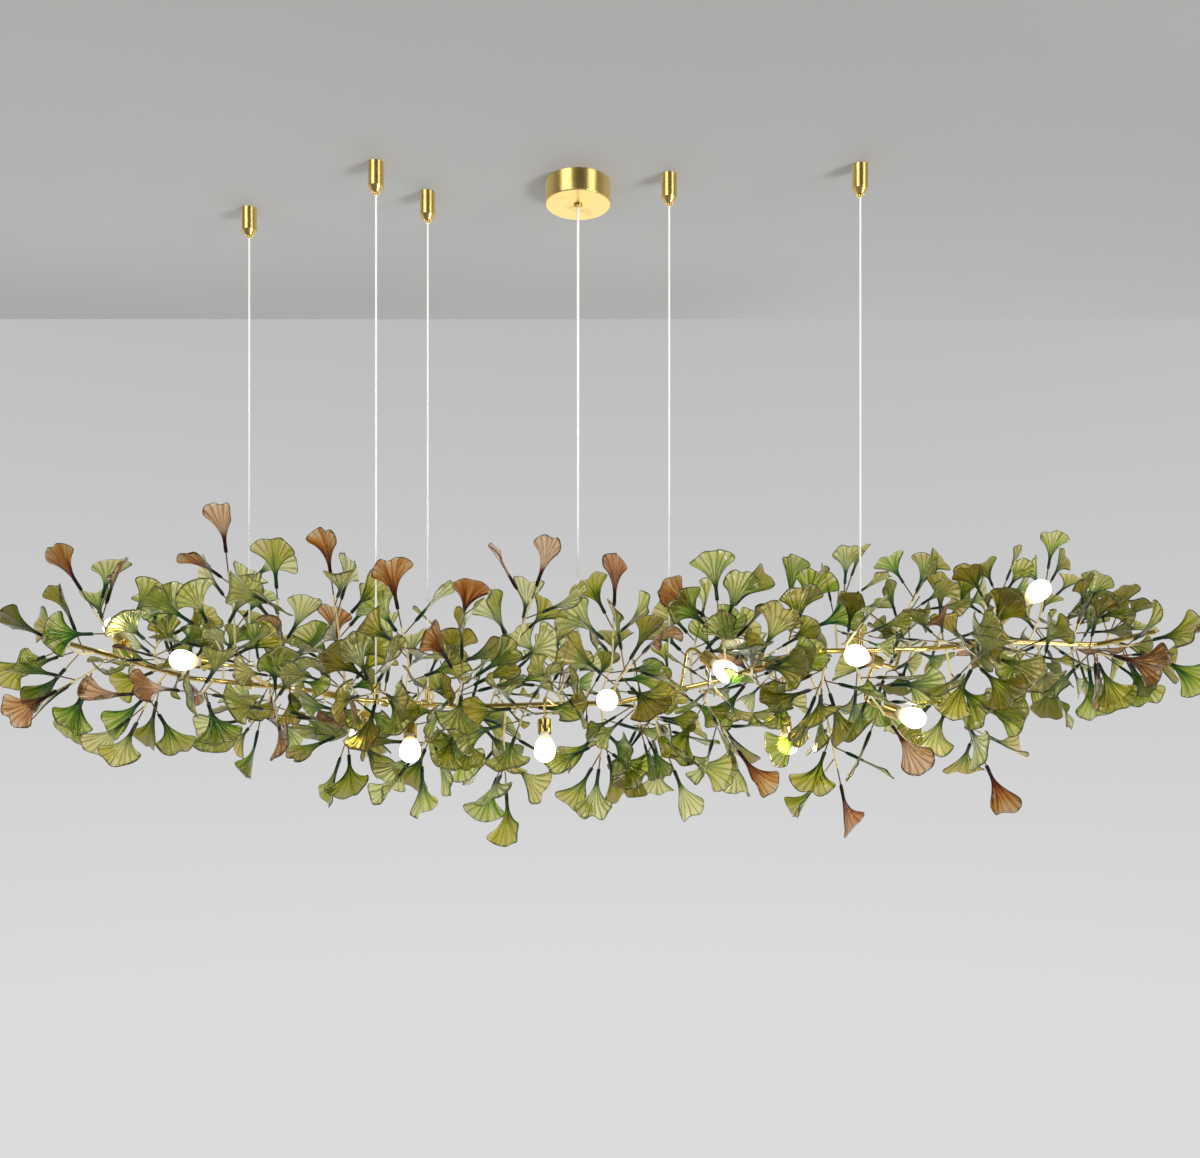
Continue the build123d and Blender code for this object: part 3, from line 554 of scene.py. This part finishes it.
twigBrass = makeFinish("twigBrass", {}, twigPaint)
for node in sorted(name for name in nodes if name.startswith("twigs_")):
    dressTwigs("twigs" + "".join(word.capitalize() for word in node.split("_")[1:]), node, twigBrass)
print("twigs dressed")


# Glass ginkgo leaves: a thick stalk that flares into a cupped, ruffled fan with a cleft rim

leaf = {                                              # millimetres and degrees
    "across": 10, "along": 6, "stalkRows": 2,         # faces of the sheet, and how many rows of them are stalk
    "length": 78.0, "fanWidth": 70.0, "tipStation": 55.0, "cupDroop": 1.28,
    "stalk": 22.0, "stalkRadius": 2.45, "club": 0.22, "flat": 0.9,   # thicker at its end, thinner on its sides
    "sink": 1.4,                                      # how far the stalk reaches over its stem
    "radius": 60.0, "sideLoss": 10.5, "sidePower": 2.4,
    "angle": (23.0, 23.0), "anglePower": 1.5,         # half angle of the fan at its neck, and more at the rim
    "cleft": (4.0, 15.0), "cleftPlace": (-0.12, 0.12), "cleftWidth": 0.15,
    "sideCleft": (1.0, 5.5), "sideCleftPlace": (0.38, 0.64),
    "droop": 4.0, "bend": 3.0, "lean": 0.1, "skew": 0.35,
    "ruffle": (1.4, 3.6), "waves": (6.0, 8.5),
    "rollRise": 12.0, "rollShare": 0.6, "roll": (65.0, 110.0),   # deep cups that roll up, and how far their tips turn
    "sheet": (1.25, 0.8), "bead": 0.25,               # half thickness at neck and rim, and the rim's round bead
    "neck": 0.4, "neckShare": 0.7,                    # how far into the fan the stalk still shows, and how much
    "start": 1e-6, "edge": 0.999,                     # a place counts as the start below, as the edge above
    "crowd": 0.0055, "seatCorners": 4,                # metres between the corners of a CAD stalk's end
    "sortDigits": 5, "seed": 5,
    "inner": 0.13, "smokeShare": (0.64, 0.52),        # metres; leaves this near to the trunk are darker as painted shade of the dense core; shares of smoke by chance and of that shade
}


def leafBlank():
    # flat sheet: x runs along the leaf from 0 to 1 and y across it from -1 to 1
    bm = bmesh.new()
    bmesh.ops.create_grid(bm, x_segments=leaf["along"], y_segments=leaf["across"], size=1.0)
    bmesh.ops.scale(bm, vec=(0.5, 1, 1), verts=bm.verts)
    bmesh.ops.translate(bm, vec=(0.5, 0, 0), verts=bm.verts)
    flat = bm.loops.layers.uv.new("UVMap")
    for face in bm.faces:
        face.smooth = True
        for loop in face.loops:
            loop[flat].uv = (loop.vert.co.y * 0.5 + 0.5, loop.vert.co.x)
    mesh = bpy.data.meshes.new("leafBlank")
    bm.to_mesh(mesh)
    bm.free()
    return mesh


def leafShape(rise, chance):
    # each leaf is pressed by hand, so no two are alike
    clefts = [(chance.uniform(*leaf["cleftPlace"]), chance.uniform(*leaf["cleft"]))]
    clefts += [(side * chance.uniform(*leaf["sideCleftPlace"]), chance.uniform(*leaf["sideCleft"]))
               for side in (-1, 1)]
    return {"rise": rise, "clefts": clefts, "phase": chance.uniform(0, math.tau),
            "ruffle": chance.uniform(*leaf["ruffle"]), "waves": chance.uniform(*leaf["waves"]),
            "lean": chance.uniform(-leaf["lean"], leaf["lean"]), "skew": chance.uniform(-leaf["skew"], leaf["skew"]),
            "bend": chance.uniform(-leaf["bend"], leaf["bend"]),
            "roll": math.radians(chance.uniform(*leaf["roll"])) if rise > leaf["rollRise"]
            and chance.random() < leaf["rollShare"] else 0.0}


def leafPoint(v, u, shape):
    # a point of the leaf's middle sheet and its half thickness there, in millimetres
    share = leaf["stalkRows"] / leaf["along"]
    f = (v - share) / (1 - share)
    if f < leaf["start"]:
        x = leaf["stalk"] * v / share - (leaf["sink"] if v < leaf["start"] else 0.0)
        radius = leaf["stalkRadius"] * (1 + leaf["club"] * (1 - v / share))
        return Vector((x, u * radius, 0.0)), radius * math.sqrt(1 - leaf["flat"] * u * u)
    near, more = leaf["angle"]
    turn = math.radians(u * (near + more * f ** leaf["anglePower"]))
    reach = leaf["radius"] - leaf["sideLoss"] * abs(u) ** leaf["sidePower"]
    for place, depth in shape["clefts"]:
        reach -= depth * math.exp(-((u - place) / leaf["cleftWidth"]) ** 2) * f
    reach *= (1 + shape["lean"] * u * f) * f
    x = leaf["stalk"] + reach * math.cos(turn)
    y = reach * math.sin(turn) + u * leaf["stalkRadius"] * (1 - f) ** 2
    tip = leaf["fanWidth"] / 2
    if shape["roll"]:
        bow = tip / shape["roll"]
        z = bow * (1 - math.cos(y / bow))
        y = bow * math.sin(y / bow)
    else:
        z = shape["rise"] * (y / tip) ** 2 * leaf["tipStation"] / x * (1 + shape["skew"] * u)
    z -= leaf["droop"] * ((x - leaf["stalk"]) / (leaf["length"] - leaf["stalk"])) ** 2 + shape["bend"] * f * f
    z += shape["ruffle"] * f * f * math.sin(shape["waves"] * u + shape["phase"])
    atNeck, atRim = leaf["sheet"]
    neck = max(0.0, 1 - f / leaf["neck"]) ** 2 * leaf["stalkRadius"] * leaf["neckShare"]
    half = atNeck + (atRim - atNeck) * f + neck * (1 - u * u)
    if f > leaf["edge"] or abs(u) > leaf["edge"]:
        half += leaf["bead"]
    return Vector((x, y, z)), half


def leafFrame(points):
    # seat, direction, size and cup depth of one CAD leaf, from the corners of its solid
    middle = sum(points, Vector()) / len(points)
    count = leaf["seatCorners"]
    crowded = [p for p in points if sum((q - p).length < leaf["crowd"] for q in points) >= count]
    end = max(crowded, key=lambda p: (p - middle).length)
    seat = sorted(points, key=lambda p: (p - end).length)[:count]
    base = sum(seat, Vector()) / count
    axis = (seat[1] - seat[0]).cross(seat[2] - seat[0]).normalized()
    if axis.dot(middle - base) < 0:
        axis.negate()
    first, second = sorted(points, key=lambda p: (p - base - axis * axis.dot(p - base)).length)[-2:]
    across = (first - second).normalized()
    scale = (first - second).length * perMetre / leaf["fanWidth"]
    normal = axis.cross(across).normalized()
    high = normal.dot((first + second) / 2 - base)
    if high < 0:
        normal.negate()
    across = normal.cross(axis)
    turn = Matrix((axis, across, normal)).transposed().to_4x4()
    return {"place": Matrix.Translation(base) @ turn @ Matrix.Scale(scale / perMetre, 4), "seat": base,
            "scale": scale, "rise": abs(high) * perMetre / scale + leaf["cupDroop"]}


def leafFrames(node):
    bm = mergedCopy(node)
    found = [leafFrame([vert.co.copy() for vert in island]) for island in islandsOf(bm)]
    bm.free()
    return sorted(found, key=lambda place: round(place["seat"].x, leaf["sortDigits"]))


def trunkFinder():
    corners = [vert.co for name in nodes if name.startswith("trunk_") for vert in nodes[name].data.vertices]
    finder = KDTree(len(corners))
    for i, corner in enumerate(corners):
        finder.insert(corner, i)
    finder.balance()
    return finder


def dressLeaves(name, node, finish, blank, trunk, chance):
    bm = bmesh.new()
    tone = bm.verts.layers.float.new("tone")
    smoke = bm.verts.layers.float.new("smoke")
    thick = bm.verts.layers.deform.verify()
    most = leaf["stalkRadius"] * (1 + leaf["club"])
    count = len(blank.vertices)
    frames = leafFrames(nodes[node])
    for one in frames:
        shape = leafShape(one["rise"], chance)
        _, _, distance = trunk.find(one["seat"])
        byChance, byPlace = leaf["smokeShare"]
        inside = max(0.0, 1 - distance / leaf["inner"])
        # the leaf's tone, and its smoke: some by chance, and more near the trunk as painted shade of the dense core
        looks = chance.random(), min(1.0, chance.random() * byChance + inside * byPlace)
        bm.from_mesh(blank)
        bm.verts.ensure_lookup_table()
        for vert in bm.verts[-count:]:
            point, half = leafPoint(vert.co.x, vert.co.y, shape)
            vert.co = one["place"] @ point
            vert[thick][0] = half * one["scale"] / most
            vert[tone], vert[smoke] = looks
    mesh = bpy.data.meshes.new(name)
    bm.to_mesh(mesh)
    bm.free()
    mesh.materials.append(finish)
    piece = addObject(name, mesh)
    piece.vertex_groups.new(name="thick")
    shell = piece.modifiers.new("shell", "SOLIDIFY")
    shell.thickness, shell.offset, shell.vertex_group = 2 * most / perMetre, 0.0, "thick"
    smooth = piece.modifiers.new("smooth", "SUBSURF")
    smooth.levels = smooth.render_levels = 1
    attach(piece, "branch")
    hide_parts(node)
    return len(frames)


glass = {
    "green": {                                        # colours from the stalk's end to the rim
        "warm": [(0.0, (0.014, 0.032, 0.007)), (0.28, (0.036, 0.062, 0.005)), (0.42, (0.18, 0.26, 0.006)),
                 (0.57, (0.60, 0.58, 0.020)), (0.80, (0.90, 0.79, 0.09)), (1.0, (0.96, 0.84, 0.27))],
        "cool": [(0.0, (0.004, 0.034, 0.018)), (0.31, (0.009, 0.076, 0.022)), (0.46, (0.06, 0.28, 0.034)),
                 (0.66, (0.35, 0.60, 0.060)), (0.85, (0.69, 0.80, 0.17)), (1.0, (0.84, 0.88, 0.35))],
        "pale": (0.97, 0.95, 0.50), "line": (0.98, 0.97, 0.66), "blush": (0.74, 0.36, 0.09),
    },
    "amber": {
        "warm": [(0.0, (0.020, 0.005, 0.002)), (0.28, (0.055, 0.010, 0.003)), (0.44, (0.27, 0.045, 0.005)),
                 (0.62, (0.72, 0.24, 0.020)), (0.82, (0.90, 0.44, 0.075)), (1.0, (0.95, 0.62, 0.24))],
        "cool": [(0.0, (0.016, 0.005, 0.003)), (0.31, (0.045, 0.010, 0.004)), (0.48, (0.24, 0.046, 0.010)),
                 (0.70, (0.64, 0.22, 0.045)), (0.86, (0.84, 0.40, 0.13)), (1.0, (0.92, 0.58, 0.32))],
        "pale": (0.97, 0.70, 0.44), "line": (0.99, 0.85, 0.62), "blush": (0.62, 0.14, 0.05),
    },
    "cloud": {"scale": 34.0, "detail": 3.0}, "cloudShift": 0.22,
    "ray": {"across": 11.0, "along": 1.5, "tone": 60.0}, "rayNoise": {"scale": 1.0, "detail": 2.0},
    "streak": (0.34, 0.66), "streakShift": 0.38,      # streaks run out from the neck
    "fan": (0.34, 0.52),                              # where the stalk turns into the fan
    "side": (0.5, 1.0), "sideShift": 0.15,
    "blush": {"turns": 40.0, "leaves": (0.35, 1.0), "along": (0.5, 0.9), "even": 0.4, "share": 0.5},   # brown rims
    "clear": (0.45, 1.0), "paleShare": 0.8,           # leaves with little smoke are paler, and since the smoke holds the painted shade of the core, leaves far from the trunk are paler in turn
    "veins": 7.0, "veinTone": 9.0, "veinCloud": 4.0, "veinStreak": 1.2, "vein": (0.45, 1.0), "veinDark": 0.55,
    "line": {"level": -0.2, "wave": (0.62, 0.8), "along": (0.5, 0.8), "share": 0.5},   # light lines between veins
    # painted highlight and painted shade along the rim: rimLight lightens it, rimDark darkens it
    "rim": (0.95, 1.0), "sideRim": (0.92, 1.0), "rimDark": 0.85, "rimLight": 0.7,
    "smokeDark": 0.92, "dark": (0.13, 0.13, 0.014),
    "rough": (0.05, 0.12), "relief": {"streak": 0.5, "vein": 0.6, "cloud": 0.8}, "bump": (0.5, 0.0010),
    "fixed": {"Transmission Weight": 0.94, "IOR": 1.36},
}


def glassFinish(name, colours):
    def paint(shade):
        spot = shade.node("UVMap", {"uv_map": "UVMap"})
        across = shade.node("SeparateXYZ", None, {0: spot}, out="X")
        along = shade.node("SeparateXYZ", None, {0: spot}, out="Y")
        tone = shade.node("Attribute", {"attribute_name": "tone"}, out="Fac")
        smoke = shade.node("Attribute", {"attribute_name": "smoke"}, out="Fac")
        cloud = noise(shade, shade.node("TexCoord", out="Object"), **glass["cloud"])
        spread = glass["ray"]
        ray = shade.node("CombineXYZ", None, {"X": across * spread["across"], "Y": along * spread["along"],
                                              "Z": tone * spread["tone"]})
        streak = noise(shade, ray, **glass["rayNoise"]).step(*glass["streak"])
        fan = along.step(*glass["fan"])
        edge = abs(across * 2.0 - 1.0)                # 0 in the middle, 1 on both sides
        where = along + (cloud - 0.5) * glass["cloudShift"] + (streak - 0.5) * glass["streakShift"] * fan
        where = where - edge.step(*glass["side"]) * glass["sideShift"]
        tint = tone.mix(where.ramp(colours["warm"]), where.ramp(colours["cool"]))
        brown = glass["blush"]
        blush = (tone * brown["turns"]).sine().step(*brown["leaves"]) * along.step(*brown["along"])
        blush = blush * (brown["even"] + (1 - brown["even"]) * streak) * brown["share"]
        tint = blush.mix(tint, colours["blush"])
        tint = ((1 - smoke).step(*glass["clear"]) * fan * glass["paleShare"]).mix(tint, colours["pale"])
        wave = across * (glass["veins"] * math.tau) + tone * glass["veinTone"] + cloud * glass["veinCloud"]
        wave = (wave + streak * glass["veinStreak"]).sine()
        vein = wave.step(*glass["vein"]) * fan
        light = glass["line"]
        line = (light["level"] - wave).step(*light["wave"]) * along.step(*light["along"]) * streak * light["share"]
        # painted highlight and painted shade on the rim: where the streaks run, the rim takes the pale line colour in
        # place of glints on the glass edge; between them it is darkened in place of the dark edge that refraction
        # gives
        rim = along.step(*glass["rim"]).atLeast(edge.step(*glass["sideRim"]) * fan)
        tint = line.atLeast(rim * streak * glass["rimLight"]).mix(tint, colours["line"])
        # painted shade: the smoke darkens leaves near the trunk, where the dense core lies in shade, besides leaves
        # smoky by chance; the veins darken as well
        shadeSmokeAndVeins = (rim * (1 - streak) * glass["rimDark"]).atLeast(smoke * smoke * glass["smokeDark"])
        shadeSmokeAndVeins = shadeSmokeAndVeins.atLeast(vein * glass["veinDark"])
        smooth, more = glass["rough"]
        relief = glass["relief"]
        height = streak * relief["streak"] + vein * relief["vein"] + cloud * relief["cloud"]
        return {
            "Base Color": shadeSmokeAndVeins.mix(tint, glass["dark"], "MULTIPLY"),
            "Roughness": smooth + more * cloud * fan,
            "Normal": bump(shade, height, *glass["bump"]),
        }
    return makeFinish(name, glass["fixed"], paint)


leafGlass = {colour: glassFinish(colour + "Glass", glass[colour]) for colour in ("green", "amber")}
chance = random.Random(leaf["seed"])
blank, trunk = leafBlank(), trunkFinder()
for node in sorted(name for name in nodes if "_leaves_" in name):
    colour, part = node.split("_leaves_")
    pieceName = colour + "Leaves" + "".join(word.capitalize() for word in part.split("_"))
    total = dressLeaves(pieceName, node, leafGlass[colour], blank, trunk, chance)
    print(pieceName, total, "leaves")
bpy.data.meshes.remove(blank)


# Bulbs: frosted capsule on a pinched base with two pins

bulb = {                                              # millimetres
    "capsule": [(0.0, 0.0), (4.2, -0.6), (8.2, -2.5), (11.6, -5.6), (13.9, -9.8), (14.9, -14.6), (14.4, -20.5),
                (12.9, -26.5), (10.7, -32.0), (8.3, -36.0), (6.4, -38.4)],   # radius, height under the crown
    "base": [(6.4, -38.4), (6.45, -39.4), (6.5, -47.0), (5.9, -48.0), (0.0, -48.0)],
    "pin": {"radius": 0.85, "tip": 0.7, "spacing": 9.0, "from": -47.5, "to": -54.0, "segments": 12,
            "below": -50.0},                          # under this height a CAD bulb has only its pins
    "steps": 28, "weld": 1e-6,                        # steps of a full turn; metres between joined corners
}


def turnProfile(bm, profile, steps):
    verts = [bm.verts.new((radius / perMetre, 0, height / perMetre)) for radius, height in profile]
    edges = [bm.edges.new(pair) for pair in zip(verts, verts[1:])]
    bmesh.ops.spin(bm, geom=verts + edges, cent=(0, 0, 0), axis=(0, 0, 1), angle=math.tau, steps=steps,
                   use_merge=True)
    bmesh.ops.remove_doubles(bm, verts=bm.verts, dist=bulb["weld"])
    bmesh.ops.recalc_face_normals(bm, faces=bm.faces)


def bulbPlace(node, axis):
    # the crown of the CAD bulb, with its pins spread along local X
    corners = [vert.co for vert in node.data.vertices]
    crown = max(corners, key=lambda co: co.dot(axis))
    feet = [co for co in corners if (co - crown).dot(axis) < bulb["pin"]["below"] / perMetre]
    middle = sum(feet, Vector()) / len(feet)
    far = max(feet, key=lambda co: (co - middle).cross(axis).length)
    half = [co for co in feet if (co - middle).dot(far - middle) > 0]
    spread = sum(half, Vector()) / len(half) - middle
    spread = (spread - axis * spread.dot(axis)).normalized()
    turn = Matrix((spread, axis.cross(spread), axis)).transposed().to_4x4()
    return Matrix.Translation(crown) @ turn


def dressBulb(index, axis):
    place = bulbPlace(nodes[f"bulb_{index}"], axis)
    bm = bmesh.new()
    flat = bm.loops.layers.uv.new("UVMap")
    turnProfile(bm, bulb["capsule"] + bulb["base"][1:], bulb["steps"])
    neck = bulb["base"][0][1] / perMetre
    for face in bm.faces:
        face.smooth = True
        face.material_index = 1 if face.calc_center_median().z < neck else 0
        for loop in face.loops:
            loop[flat].uv = (0.5, 1 - loop.vert.co.z / neck)
    pin = bulb["pin"]
    for side in (-0.5, 0.5):
        made = bmesh.ops.create_cone(bm, cap_ends=True, segments=pin["segments"], radius1=pin["tip"] / perMetre,
                                     radius2=pin["radius"] / perMetre, depth=(pin["from"] - pin["to"]) / perMetre)
        bmesh.ops.translate(bm, verts=made["verts"],
                            vec=(side * pin["spacing"] / perMetre, 0, (pin["from"] + pin["to"]) / 2 / perMetre))
        for face in {face for vert in made["verts"] for face in vert.link_faces}:
            face.material_index = 2
            face.smooth = len(face.verts) == 4
    bmesh.ops.transform(bm, matrix=place, verts=bm.verts)
    mesh = bpy.data.meshes.new(f"bulb{index}")
    bm.to_mesh(mesh)
    bm.free()
    for slot in ("frosted_bulb", "white_insulator", "plated_steel"):
        mesh.materials.append(finishes[slot])
    piece = addObject(f"bulb{index}", mesh)
    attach(piece, f"lamp_{index}")
    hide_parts(f"bulb_{index}")


pulls = [joint for joint in frame["joints"] if joint["name"].startswith("bulb_pull_")]
for joint in pulls:
    dressBulb(int(joint["name"].split("_")[-1]), Vector(joint["axis"]).normalized())
print(len(pulls), "bulbs")
